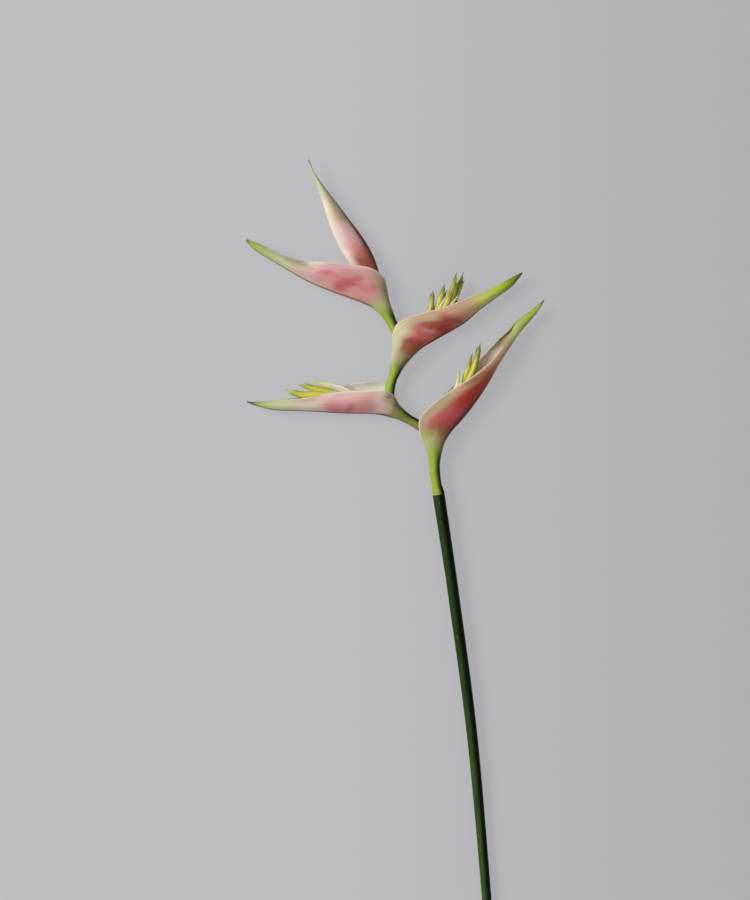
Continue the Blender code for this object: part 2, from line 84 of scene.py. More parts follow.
# Bracts: one row for each station from the base to the tip, with the keel (x, y), the rim
# (x, y), the half width of the belly, the half width of the mouth and the lean of the
# mouth towards +Z in degrees
BRACTS = {
    "bract_1": [
        (1.9, 27.3, -7.7, 27.3, 4.8, 0.4, 0),
        (4.6, 36.5, -10.6, 36.5, 6.4, 0.6, 0),
        (9.6, 44.4, -13.4, 43, 8, 3.9, 0),
        (15.5, 51, -13, 53.5, 9.3, 4.6, 0),
        (22.3, 59.2, -3.4, 63.4, 9.9, 5.4, 0),
        (29, 68.5, 8.2, 72.8, 9.6, 6.4, 6),
        (35.2, 78, 19.6, 81.6, 8.4, 6.8, 22),
        (41.6, 90.2, 32.2, 92.6, 7.4, 6.8, 34),
        (49, 102.6, 43.1, 105.2, 6.2, 5.2, 36),
        (54.8, 110.4, 49.6, 113.4, 4.4, 2.4, 31),
        (60.8, 117.4, 54.6, 120.3, 3, 0.8, 28),
        (69.8, 128.1, 66.6, 129.7, 1.7, 0.6, 24),
        (74.2, 135.6, 73.7, 135.9, 0.35, 0.2, 20)],
    "bract_2": [
        (-27.5, 51.7, -24.6, 59.6, 4.3, 0.4, 0),
        (-33, 53.4, -28.2, 63.6, 6, 1, 0),
        (-38.5, 55.1, -30.4, 68.2, 7.8, 4.7, 2),
        (-45, 56.1, -36.6, 74.2, 9.4, 7.2, 20),
        (-53, 56.3, -46.5, 75.2, 10.2, 7.8, 27),
        (-63, 56.5, -59, 74.4, 10.2, 8, 23),
        (-74, 57, -72, 72.2, 9.1, 7, 15),
        (-86, 57.8, -85, 69.1, 7, 5, 10),
        (-100, 58.3, -99.6, 66.8, 5, 3.2, 12),
        (-115, 58.8, -114.8, 65.2, 3.2, 1.4, 6),
        (-126.6, 61.4, -126.6, 64.4, 1.6, 0.7, 2),
        (-134.2, 64, -134.2, 64.7, 0.35, 0.2, 0)],
    "bract_3": [
        (-25, 87.4, -34, 88.9, 4.55, 0.4, 0),
        (-20, 94, -33, 96, 6.4, 0.6, 0),
        (-12.8, 101.2, -32.2, 106, 8.2, 2.4, 0),
        (-4, 106.8, -31.8, 113.6, 9.2, 4.6, 0),
        (4, 111.4, -26.6, 121, 9.6, 6, 2),
        (11.5, 115.6, -12, 126.4, 9.4, 6.6, 4),
        (19.5, 120.8, 3, 130.6, 8.4, 6.2, 6),
        (29.6, 129.6, 18.6, 136.6, 6.6, 4.6, 6),
        (41, 137.9, 35, 142.6, 4.4, 2.4, 4),
        (51.4, 145.4, 48, 149.6, 2.5, 1, 2),
        (58.9, 154.4, 58.1, 155.2, 0.6, 0.25, 0)],
    "bract_4": [
        (-39.4, 123.4, -31.9, 127.9, 4.4, 0.4, 0),
        (-45.6, 129.8, -34.4, 135.8, 6.3, 0.6, 0),
        (-53, 133.6, -36, 144, 8.2, 1.4, 0),
        (-62, 137, -39, 152.2, 9.4, 4.4, 0),
        (-71, 140.2, -48, 157.7, 9.6, 7.2, 0),
        (-81, 144.2, -64, 160.4, 9, 7.4, 2),
        (-92, 149.1, -81, 162.2, 7.4, 4.6, 4),
        (-104, 155.9, -97.5, 163.6, 5.2, 2.2, 4),
        (-116.5, 163.3, -112.6, 168.4, 3.2, 1, 2),
        (-128, 170.2, -125.1, 174.8, 2.4, 0.7, 0),
        (-134.7, 177, -133.9, 178.4, 0.7, 0.25, 0)],
    "bract_5": [
        (-38.7, 144.6, -46.9, 143.4, 4.1, 0.4, 0),
        (-41, 152.4, -53, 149.4, 5, 0.5, 0),
        (-43.6, 161, -60.4, 158.4, 5.6, 0.8, 0),
        (-47.8, 170.6, -67.2, 168.6, 6, 1.4, 0),
        (-54.6, 181.6, -72.6, 179.2, 6.1, 1.8, 0),
        (-62.4, 191.8, -77.2, 191.4, 5.6, 1.8, 0),
        (-71.1, 203.4, -81.4, 204.6, 4.6, 1.4, 0),
        (-79.8, 214.8, -85.4, 217, 3, 0.9, 0),
        (-87, 225.4, -88.8, 227, 1.6, 0.6, 0),
        (-90.8, 234.2, -91.4, 234.6, 0.35, 0.2, 0)],
}
BRACT_WALL = 0.9
RIM_THINS = 0.5  # share of the wall that is gone at the rim
WALL_TO_BELLY = 0.4  # the thickest wall, as a share of the belly's half width
WALL_TO_HEIGHT = 0.3  # and of the height from the keel to the rim
NARROWEST_MOUTH = 0.2
KEEL_CREASE = 1.5  # 1 is a round keel, 2 a straight-sided one
CREASE_STARTS = 0.05
CREASE_ENDS = 0.35
POINT_STARTS = 0.62
POINT_ENDS = 0.86
POINT_NARROWS = 0.5
POINT_RISES = 0.8
BRACT_STEPS = 11
OUTER_STEPS = 44
INNER_STEPS = 26
LINING_STEPS = 90
RIM_STEPS = 4
SKIRT = [(10.0, 0.0), (5.0, 0.4)]  # (distance below the base, share of its extra width)
SKIRT_SUNK = 0.2  # how deep its first ring lies in the axis
SKIRT_MOUTH = 0.4
VEINS = 15  # raised veins on each cheek
VEIN_HEIGHT = 0.055
VEINS_START = (0.04, 0.12)  # from the keel towards the rim
KEEL_RIDGE = 0.18
KEEL_RIDGE_REACH = 0.035
RELIEF_STARTS = (0.02, 0.2)  # along the bract
RELIEF_BELLY = 6  # the half width from which it has its full height
RIM_WAVE = 0.45
RIM_WAVES = (17, 41)  # radians along the bract
SHORT_WAVE = 0.5
WAVE_MOUTH = 3  # the mouth from which it has its full height
BRACT_PHASE = 1.7  # from one bract's waves to the next one's
RIM_CHART = 0.02  # the rim's share of the chart across a bract

# Florets: the point that each bunch heads for from the flower axis, and its florets'
# routes from the bunch to their tips, each with the widest radius
FLORETS = {
    "florets_1": ((0, 52, 0), [
        ([(8, 62, 0.5), (16.5, 73, 2), (23.6, 85.5, 3.6), (29.2, 105.4, 5)], 2.5),
        ([(6, 61, 1), (12.5, 71, 0.5), (19, 82.5, 1.6), (24, 98.3, 2.5)], 2.1)]),
    "florets_2": ((-46, 64.6, 0), [
        ([(-54, 65, 0.5), (-68, 67.6, 1.5), (-84, 69.4, 2.4), (-95.5, 69.4, 3),
          (-107.1, 73.2, 3)], 3),
        ([(-53, 66, 0.5), (-65, 69.2, 0.5), (-81, 72.4, 1), (-98.4, 77, 1)], 2.6)]),
    "florets_3": ((-18.5, 110, 0), [
        ([(-13.5, 114.5, 0.5), (-9.5, 120.5, 1.5), (-5.8, 129, 1.5), (-3.8, 142.2, 1)], 2.2),
        ([(-12.5, 113.5, 0), (-6, 119.5, -1), (-0.6, 129.5, -1), (4.7, 146.3, 0)], 3),
        ([(-11.5, 112.5, 0), (-2, 119.5, 1.2), (6.6, 133, 1.6), (13.6, 154.6, 2.2)], 3),
        ([(-11.5, 112, 0), (-0.5, 120.5, -0.6), (8.8, 132.4, -1), (14, 143.4, -1.2),
          (18.4, 155, -1.4)], 2.4)]),
}
# Pale blades among the florets, in the same form
BLADES = {
    "florets_1": [([(4, 61, 1), (9, 69, 2), (13.2, 77.5, 2.5), (13.7, 88.2, 3)], 1.5),
                  ([(5, 61, 1), (10.5, 69, 3), (15.6, 78.5, 3.8), (16.4, 86, 4.2)], 1.1)],
    "florets_2": [([(-52, 66.5, 1), (-60, 70, 2), (-72, 74.8, 2.8), (-88.8, 78.4, 3.5)], 2.3),
                  ([(-52, 66.5, 1.5), (-60, 69, 3), (-68, 72.6, 4), (-77, 75.6, 4.6)], 1.6)],
    "florets_3": [([(-11.5, 112.5, 1), (-2, 119.5, 3), (7, 130, 3.8), (13.4, 138.4, 4)], 1.5),
                  ([(-12.5, 113.5, 1), (-6, 119.5, 2.4), (0, 129, 2.6), (5.6, 139, 2.6)], 1.3)],
}
BLADE_WIDEST = 0.5  # the place, as a share of its length
BLADE_TAPER = 1.6
BLADE_TIP = 0.35  # its radius at its tip, as a share of the widest
BLADE_ROUNDS = 0.93  # where its round tip begins
BLADE_END = 0.02
BLADE_FLATNESS = 0.55
# Colours of the sepals' base, body, green and tip, and the strength of their olive edges and
# of the painted shade on their right-hand sides
FLORET_COLOURS = {"florets_1": ("pale_yellow", "bright_yellow", "leaf_green", "tip_green", 0.5),
                  "florets_2": ("ivory", "bright_yellow", "bright_lime", "lime", 0.12),
                  "florets_3": ("pale_yellow", "yellow", "leaf_green", "tip_green", 0.4)}
# Soft patches on a bunch: (x, y, reach in x, reach in y, colour, strength)
FLORET_PATCHES = {
    "florets_1": [(29.5, 96.5, 2, 5, "pale_yellow", 0.6)],
    "florets_2": [(-103, 73, 5, 4, "pale_yellow", 0.4)],
    # The first patch of florets_3 is painted shade on the florets' right-hand sides.
    "florets_3": [(8, 139.5, 3.2, 9, "painted_floret_shade", 0.85), (13.6, 137, 2.4, 3.4, "ivory", 0.8),
                  (-4, 134, 4, 7, "khaki", 0.4)],
}
FLORET_ROOT = 0.45
FLORET_WIDEST = 0.62
FLORET_STEPS = 20
FLORET_RINGS = 72
FLORET_POINT = 0.52  # its radius at its blunt tip, as a share of the widest
FLORET_TAPER = 1.7
FLORET_TURN = 0.35  # radians from one floret's sepals to the next one's
SEPAL_LEAVES = 0.87  # where the sepals part, as a share of the floret's length
SEPAL_ENDS = 0.96
SEPAL_STAGGER = 0.03  # the last sepal ends this much earlier
SEPAL_SPREAD = 0.35
SEPAL_BEND = 1.4
SEPAL_LIFT = 0.3
SEPAL_WALL = 0.34
SEPAL_WALL_SHARE = 0.5  # the thickest wall, as a share of the radius
SEPAL_EDGE_THINS = 0.6
SEPAL_KEEL = 0.07  # how far its middle stands out, as a share of the radius
SEPAL_EDGE = 0.05  # how far its edges lie in, likewise
SEPAL_HALF_ANGLE = 57.0  # degrees that a sepal covers each way
SEPAL_NARROWS = 0.12
SEPAL_CLOSES = 0.82  # how much of its width is gone at its point
SEPAL_CLOSES_OVER = 0.09
SEPAL_STEPS = 14
PETAL_RADIUS = 0.62  # of the petals inside, as a share of the floret's
PETAL_ENDS = 0.93
PETAL_CLOSES = 0.8
PETAL_CLOSES_OVER = 0.2
PETAL_SIDES = 18
PETAL_CHART = 5.5  # across the chart, where the sepals have 0 to 3
BLADE_CHART = 6.5
CHART_REACH = 0.2
STUB_RADIUS = 2.2
STUB = [(0.0, 0.7), (0.3, 1.0), (0.7, 1.0), (1.0, 0.6)]
STUB_SIDES = 24
STUB_STEPS = 6
GAP = 0.3

# Camera: it looks straight down at the middle of the photo's frame
FRAME_MIDDLE = np.array([-44.5, 30.8])
FRAME_HEIGHT = 630.0  # what the photo's 900 pixels of height span
CAMERA_HEIGHT = 1600.0
SENSOR = 36.0

# Floor and lights
FLOOR_HALF = 12.0  # metres
FLOOR_DROP = 0.1
FLOOR_GLOW = 0.75  # share of the floor's brightness that is its own
FLOOR_FADES_FROM = -0.14  # metres to the right, where the floor's painted shade begins
FLOOR_FADES_TO = 0.32
SKY = (0.79, 0.78, 0.77, 1.0)
SKY_STRENGTH = 0.34
# Far lights: strength, spread in degrees and the direction that they shine from
LIGHTS = {"key": (2.5, 30, (-0.68, 0.24, 0.69)), "fill": (0.4, 80, (0.10, -0.20, 0.97))}

# Colours, red, green and blue out of 255
PALETTE = {
    "white": (252, 248, 238), "ivory": (238, 228, 208), "cream": (224, 208, 190),
    "sand": (188, 166, 136), "khaki": (162, 150, 114), "tan": (202, 160, 124),
    "brown": (150, 98, 58), "blush": (216, 176, 172), "pink": (212, 146, 144),
    "rose": (190, 96, 102), "salmon": (200, 104, 98), "crimson": (188, 80, 84),
    "rust": (158, 82, 68), "umber": (112, 62, 46), "red": (172, 56, 46), "maroon": (88, 30, 22),
    "celery": (194, 198, 158), "olive": (126, 128, 62), "dark_olive": (66, 84, 16),
    "pale_lime": (178, 186, 116), "lime": (150, 170, 62), "bright_lime": (176, 190, 62),
    "yellow_lime": (200, 208, 96), "grass": (134, 152, 42), "painted_shade_green": (74, 102, 14),
    "point": (74, 78, 50), "yellow": (204, 198, 92), "pale_yellow": (224, 218, 158),
    "bright_yellow": (210, 202, 82), "leaf_green": (142, 152, 66), "painted_floret_shade": (128, 126, 40),
    "tip_green": (84, 96, 54), "stem_green": (34, 56, 22), "stem_dark_and_shade": (5, 13, 3),
    "stem_olive": (50, 74, 24), "pith": (204, 206, 160), "floor": (191, 191, 195),
    "floor_shade_right": (178, 178, 181),
}

# Paint of each bract. The neck has its green and where keel and rim lie across the axis,
# which sets where the neck's painted light and shade fall, and the tip where its dark point
# begins and ends. The line down the keel, partly a darker keel and partly painted shade, has
# its reach and its colours along the bract, as the keel, the middle of the cheek, the rim and
# the inside have.
# Patches: (along, across, reach along, reach across, colour, strength)
PAINT = {
    "bract_1": {
        "neck": ("lime", 1.0, 0.0), "tip": (0.95, 0.995), "line reach": (0.16, 0.32),
        "line": {0.0: "dark_olive", 0.2: "maroon", 0.66: "maroon", 0.8: "dark_olive"},
        "keel": {0.0: "olive", 0.1: "brown", 0.19: "rust", 0.28: "crimson", 0.42: "red", 0.54: "red",
            0.63: "tan", 0.78: "pale_lime", 0.9: "lime"},
        "middle": {0.0: "lime", 0.1: "khaki", 0.16: "brown", 0.21: "rust", 0.28: "crimson", 0.4: "red",
            0.52: "red", 0.61: "tan", 0.76: "pale_lime", 0.9: "bright_lime", 0.96: "pale_lime"},
        "rim": {0.0: "pale_lime", 0.2: "khaki", 0.34: "khaki", 0.43: "sand", 0.58: "tan", 0.68: "khaki",
            0.8: "pale_lime", 0.92: "lime"},
        "inside": {0.0: "celery", 0.28: "cream", 0.58: "cream", 0.68: "khaki", 0.92: "lime"},
        "patches": [(0.27, 0.4, 0.1, 0.4, "crimson", 0.7), (0.5, 0.84, 0.09, 0.26, "brown", 0.8),
            (0.55, 0.6, 0.07, 0.3, "rust", 0.5), (0.12, 0.8, 0.1, 0.4, "pale_lime", 0.5),
            # The brown patch at 0.1 along and 0.1 across is painted shade on the right of the base.
            (0.1, 0.1, 0.06, 0.5, "brown", 0.7), (0.34, 0.84, 0.1, 0.22, "khaki", 0.5)],
    },
    "bract_2": {
        "neck": ("olive", 0.0, 1.0), "tip": (0.86, 0.99), "line reach": (0.14, 0.28),
        "line": {0.0: "dark_olive", 0.22: "maroon", 0.6: "maroon", 0.72: "olive"},
        "keel": {0.1: "olive", 0.18: "sand", 0.28: "pink", 0.42: "rose", 0.54: "pink", 0.66: "cream",
            0.78: "celery", 0.88: "pale_lime", 0.95: "olive"},
        "middle": {0.08: "olive", 0.17: "sand", 0.26: "blush", 0.38: "pink", 0.56: "pink", 0.67: "cream",
            0.77: "celery", 0.88: "pale_lime", 0.95: "olive"},
        "rim": {0.0: "olive", 0.14: "khaki", 0.26: "cream", 0.36: "blush", 0.58: "blush", 0.68: "sand",
            0.8: "celery", 0.9: "pale_lime"},
        # The white inside is a pale inner wall, painted whiter as painted light in the shaded mouth.
        "inside": {0.0: "celery", 0.16: "white", 0.55: "white", 0.8: "celery", 0.94: "lime"},
        "patches": [(0.45, 0.5, 0.035, 0.4, "rose", 0.75), (0.52, 0.4, 0.08, 0.34, "rose", 0.4),
            (0.36, 0.55, 0.09, 0.4, "pink", 0.5), (0.62, 0.3, 0.06, 0.35, "cream", 0.5),
            # The dark olive patch at 0.09 along is painted shade on the right of the base.
            (0.22, 0.95, 0.06, 0.3, "olive", 0.65), (0.09, 1.0, 0.1, 0.5, "dark_olive", 1.0),
            (0.06, 0.45, 0.05, 0.5, "khaki", 0.5)],
    },
    "bract_3": {
        "neck": ("lime", 1.0, 0.0), "tip": (0.88, 1.0), "line reach": (0.11, 0.21),
        "line": {0.0: "dark_olive", 0.2: "maroon", 0.6: "maroon", 0.76: "dark_olive"},
        "keel": {0.0: "olive", 0.1: "brown", 0.18: "rust", 0.28: "salmon", 0.42: "red", 0.54: "salmon",
            0.66: "tan", 0.76: "celery", 0.86: "lime", 0.94: "grass"},
        "middle": {0.0: "olive", 0.1: "khaki", 0.17: "brown", 0.24: "rust", 0.3: "salmon", 0.44: "red",
            0.56: "rust", 0.66: "tan", 0.76: "yellow_lime", 0.83: "bright_lime", 0.91: "grass"},
        "rim": {0.34: "celery", 0.46: "sand", 0.56: "tan", 0.68: "sand", 0.77: "pale_lime",
            0.84: "bright_lime", 0.92: "grass"},
        "inside": {0.0: "celery", 0.3: "ivory", 0.6: "cream", 0.8: "pale_lime", 0.92: "lime"},
        # The brown patch at 0.45 along and 0.6 across is a painted shadow of the florets.
        "patches": [(0.45, 0.22, 0.06, 0.22, "red", 0.6), (0.45, 0.6, 0.05, 0.25, "brown", 0.6),
            # The blush patch at 0.385 along is a painted highlight.
            (0.385, 0.46, 0.055, 0.26, "blush", 0.42), (0.5, 0.84, 0.06, 0.3, "sand", 0.85),
            (0.58, 0.6, 0.035, 0.26, "brown", 0.7), (0.6, 0.72, 0.06, 0.3, "pink", 0.7),
            # The umber patch at 0.09 along is painted shade on the right of the base.
            (0.24, 0.95, 0.2, 0.42, "celery", 0.7), (0.09, 0.1, 0.07, 0.45, "umber", 0.8),
            (0.25, 0.52, 0.06, 0.22, "rust", 0.6)],
    },
    "bract_4": {
        "neck": ("lime", 0.0, 1.0), "tip": (0.965, 0.995), "line reach": (0.11, 0.2),
        "line": {0.0: "dark_olive", 0.25: "brown", 0.55: "brown", 0.75: "dark_olive"},
        "keel": {0.0: "lime", 0.1: "pale_lime", 0.2: "tan", 0.3: "blush", 0.45: "cream", 0.66: "cream",
            0.78: "celery", 0.9: "pale_lime", 0.96: "lime"},
        "middle": {0.0: "lime", 0.08: "pale_lime", 0.15: "sand", 0.24: "pink", 0.34: "pink", 0.42: "rose",
            0.52: "pink", 0.63: "blush", 0.73: "celery", 0.86: "pale_lime", 0.95: "lime"},
        "rim": {0.0: "celery", 0.2: "khaki", 0.31: "sand", 0.4: "blush", 0.58: "blush", 0.68: "khaki",
            0.8: "celery", 0.9: "pale_lime"},
        "inside": {0.0: "celery", 0.3: "ivory", 0.6: "cream", 0.8: "celery", 0.94: "lime"},
        "patches": [(0.39, 0.58, 0.05, 0.22, "rose", 0.9), (0.54, 0.66, 0.08, 0.12, "rose", 0.6),
            (0.33, 0.5, 0.08, 0.1, "rose", 0.5), (0.5, 0.34, 0.07, 0.2, "blush", 0.75),
            # The white patch at 0.63 along on the rim is a painted highlight.
            (0.47, 0.78, 0.05, 0.1, "crimson", 0.3), (0.63, 1.0, 0.07, 0.3, "white", 0.8),
            (0.27, 0.6, 0.05, 0.2, "rose", 0.45), (0.19, 0.84, 0.018, 0.08, "rust", 0.7),
            (0.15, 0.76, 0.014, 0.06, "rust", 0.6), (0.73, 0.7, 0.06, 0.22, "khaki", 0.45),
            # The dark olive patch at 0.1 along is painted shade on the right of the base.
            (0.1, 1.0, 0.06, 0.4, "dark_olive", 0.7)],
    },
    "bract_5": {
        "neck": ("lime", 1.0, 0.0), "tip": (0.9, 0.98), "line reach": (0.1, 0.28),
        "line": {0.6: "maroon", 0.78: "dark_olive"},
        # The umber down the keel side, in the keel's colours and the last patch, is partly the bract's
        # own red-brown, partly painted shade.
        "keel": {0.44: "umber", 0.56: "brown", 0.66: "sand", 0.82: "olive", 0.92: "pale_lime"},
        "middle": {0.26: "rust", 0.34: "pink", 0.46: "blush", 0.62: "sand", 0.78: "celery",
            0.92: "pale_lime"},
        "rim": {0.64: "ivory", 0.8: "celery", 0.94: "pale_lime"},
        "inside": {0.0: "ivory", 0.9: "celery"},
        "patches": [(0.3, 0.34, 0.14, 0.3, "rust", 0.6), (0.57, 0.34, 0.05, 0.26, "khaki", 0.8),
            (0.34, 0.12, 0.2, 0.3, "umber", 0.8)],
    },
}


def spline(rows, steps):
    """Points of a smooth curve through the rows, with `steps` to each stretch."""
    rows = np.array(rows, dtype=float)
    ends = np.vstack([2 * rows[0] - rows[1], rows, 2 * rows[-1] - rows[-2]])
    t = (np.arange(steps) / steps)[:, None]
    stretches = []
    for i in range(1, len(ends) - 2):
        before, start, end, after = ends[i - 1:i + 3]
        stretches.append(0.5 * (2 * start + (end - before) * t
                                + (2 * before - 5 * start + 4 * end - after) * t ** 2
                                + (3 * start - before - 3 * end + after) * t ** 3))
    return np.vstack([*stretches, rows[-1]])


def distances(points):
    """How far along the line of points each of them lies."""
    return np.concatenate([[0.0], np.cumsum(np.linalg.norm(np.diff(points, axis=0), axis=1))])


def evenly(points, count):
    """The given number of points at even distances along the line of points."""
    run = distances(points)
    even = np.linspace(0.0, run[-1], count)
    return np.column_stack([np.interp(even, run, column) for column in points.T])


def part_way(value, start, end=1.0):
    """0 up to the start, 1 from the end, and straight between them."""
    return np.clip((value - start) / (end - start), 0.0, 1.0)


def ease(value, start, end):
    """0 up to the start, 1 from the end, and smooth between them."""
    share = part_way(value, start, end)
    return share * share * (3 - 2 * share)


def normed(rows):
    """Each row at length 1."""
    return rows / np.linalg.norm(rows, axis=1)[:, None]


def angles_round(sides):
    """The angles of a ring's points."""
    return np.linspace(0, 2 * math.pi, sides, endpoint=False)


def swelled(skin, angles, run, swells):
    """The skin's heights with low waves added, which wind round a tube along its run."""
    return sum((height * np.sin(waves * angles + run * turn) for height, waves, turn in swells), skin)


def colour(name):
    """The palette's colour as linear red, green, blue and alpha."""
    return (*(((part / 255 + 0.055) / 1.055) ** 2.4 for part in PALETTE[name]), 1.0)


def frames(points):
    """The two directions across a line of points, at each point: level, and upwards."""
    way = normed(np.gradient(points, axis=0))
    level = normed(np.cross(way, [0.0, 0.0, 1.0]))
    return level, np.cross(level, way)


def tube_rings(points, radii, sides):
    """Rings round the points; the radii are one for each ring, or one for each ring and side."""
    angles = angles_round(sides)
    level, up = frames(points)
    radii = np.broadcast_to(np.reshape(radii, (len(points), -1)), (len(points), sides))[:, :, None]
    spokes = (np.cos(angles)[:, None] * level[:, None, :]
              + np.sin(angles)[:, None] * up[:, None, :])
    return points[:, None, :] + radii * spokes


def placed(name, data):
    """A new object in the scene."""
    made = bpy.data.objects.new(name, data)
    bpy.context.scene.collection.objects.link(made)
    return made


def solid(name, lofts, node, material):
    """One piece made of capped lofts, each with (rings, along, across), the last two its chart.
    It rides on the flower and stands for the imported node."""
    shape = bmesh.new()
    chart = shape.loops.layers.uv.new("UVMap")
    for rings, along, across in lofts:
        rings = (np.asarray(rings) + COLLAR) * MM
        corners = [[shape.verts.new(point) for point in ring] for ring in rings]
        count = len(corners[0])
        for i in range(len(corners) - 1):
            for j in range(count):
                k = (j + 1) % count
                face = shape.faces.new((corners[i][j], corners[i][k],
                                        corners[i + 1][k], corners[i + 1][j]))
                face.smooth = True
                places = ((i, j), (i, j + 1), (i + 1, j + 1), (i + 1, j))
                for loop, (ring, side) in zip(face.loops, places):
                    loop[chart].uv = (along[ring], across[side])
        for ring, share in ((corners[0][::-1], along[0]), (corners[-1], along[-1])):
            face = shape.faces.new(ring)
            for loop in face.loops:
                loop[chart].uv = (share, across[0])
    bmesh.ops.recalc_face_normals(shape, faces=shape.faces)
    mesh = bpy.data.meshes.new(name)
    shape.to_mesh(mesh)
    shape.free()
    mesh.materials.append(material)
    piece = placed(name, mesh)
    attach(piece, "root")
    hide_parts(node)


class Paint:
    """A material, with short ways to add its nodes."""

    def __init__(self, name, roughness, specular=0.22):
        self.material = bpy.data.materials.new(name)
        self.material.use_nodes = True
        self.tree = self.material.node_tree
        self.shader = self.tree.nodes["Principled BSDF"]
        self.shader.inputs["Roughness"].default_value = roughness
        self.shader.inputs["Specular IOR Level"].default_value = specular

    def feed(self, socket, value):
        """Link the value to the socket, or set the socket to it."""
        if isinstance(value, bpy.types.NodeSocket):
            self.tree.links.new(value, socket)
        else:
            socket.default_value = value

    def node(self, kind, inputs, output=0, **settings):
        """The output of a new node with the inputs and settings given."""
        made = self.tree.nodes.new("ShaderNode" + kind)
        for key, value in settings.items():
            setattr(made, key, value)
        for key, value in inputs.items():
            self.feed(made.inputs[key], value)
        return made.outputs[output]

    def value(self, operation, a, b=0.0):
        return self.node("Math", {0: a, 1: b}, operation=operation)

    def vector(self, x, y, z=0.0):
        return self.node("CombineXYZ", {0: x, 1: y, 2: z})

    def apart(self, value):
        """How far the value is from 0.5."""
        return self.value("ABSOLUTE", self.value("SUBTRACT", value, 0.5))

    def stretched(self, chart, lengthwise, crosswise, offset=0.0):
        """The chart's coordinates times the two numbers."""
        return self.vector(self.value("MULTIPLY", chart[0], lengthwise),
                           self.value("MULTIPLY", chart[1], crosswise), offset)

    def grain(self, chart, lengthwise, crosswise, detail, roughness, offset=0.0):
        """Noise with its own scale along the piece and across it."""
        place = self.stretched(chart, lengthwise, crosswise, offset)
        return self.node("TexNoise", {"Vector": place, "Scale": 1.0, "Detail": detail,
                                      "Roughness": roughness})

    def slope(self, value, start, end, low=0.0, high=1.0, way="SMOOTHSTEP"):
        """From low at the start to high at the end, and level outside them."""
        return self.node("MapRange", {"Value": value, "From Min": start, "From Max": end,
                                      "To Min": low, "To Max": high}, interpolation_type=way)

    def mix(self, factor, a, b, blend="MIX"):
        return self.node("Mix", {0: factor, 6: a, 7: b}, output=2, data_type="RGBA",
                         blend_type=blend)

    def ramp(self, value, stops):
        """The palette's colours at their places, and smooth between them."""
        made = self.tree.nodes.new("ShaderNodeValToRGB")
        made.color_ramp.interpolation = "EASE"
        bar = made.color_ramp.elements
        while len(bar) < len(stops):
            bar.new(1.0)
        for element, (place, name) in zip(bar, stops.items()):
            element.position = place
            element.color = colour(name)
        self.feed(made.inputs[0], value)
        return made.outputs[0]

    def patch(self, under, place, centre, reach, name, strength):
        """A soft oval of the colour over what is under it."""
        scaled = self.node("VectorMath", {0: place, 1: (1 / reach[0], 1 / reach[1], 0.0),
                                          2: (-centre[0] / reach[0], -centre[1] / reach[1], 0.0)},
                           operation="MULTIPLY_ADD")
        distance = self.node("VectorMath", {0: scaled}, output=1, operation="LENGTH")
        return self.mix(self.slope(distance, 0.1, 1.0, strength, 0.0), under, colour(name))

    def chart(self):
        """The surface's coordinates: along the piece and across it."""
        made = self.tree.nodes.new("ShaderNodeUVMap")
        made.uv_map = "UVMap"
        return self.split(made.outputs[0])[:2]

    def split(self, place):
        """The three coordinates of a place."""
        made = self.tree.nodes.new("ShaderNodeSeparateXYZ")
        self.feed(made.inputs[0], place)
        return made.outputs[:]

    def neck(self, rightward, green):
        """The flower axis's green: painted light pales its left (0), painted shade darkens its right (1).
        """
        skin = self.mix(self.slope(rightward, 0.20, 0.0, 0.0, 0.5), green, colour("pale_lime"))
        skin = self.mix(self.slope(rightward, 0.40, 0.68, 0.0, 0.94), skin, colour("painted_shade_green"))
        return self.mix(self.slope(rightward, 0.60, 0.80, 0.0, 0.92), skin, colour("stem_dark_and_shade"))

    def relief(self, height, distance, strength=1.0):
        """Fine bumps in the shading, as deep as the distance in millimetres."""
        self.feed(self.shader.inputs["Normal"],
                  self.node("Bump", {"Height": height, "Distance": distance * MM, "Strength": strength}))

    def finish(self, base, roughness=None):
        """The material, once it has its base colour."""
        self.feed(self.shader.inputs["Base Color"], base)
        if roughness is not None:
            self.feed(self.shader.inputs["Roughness"], roughness)
        return self.material


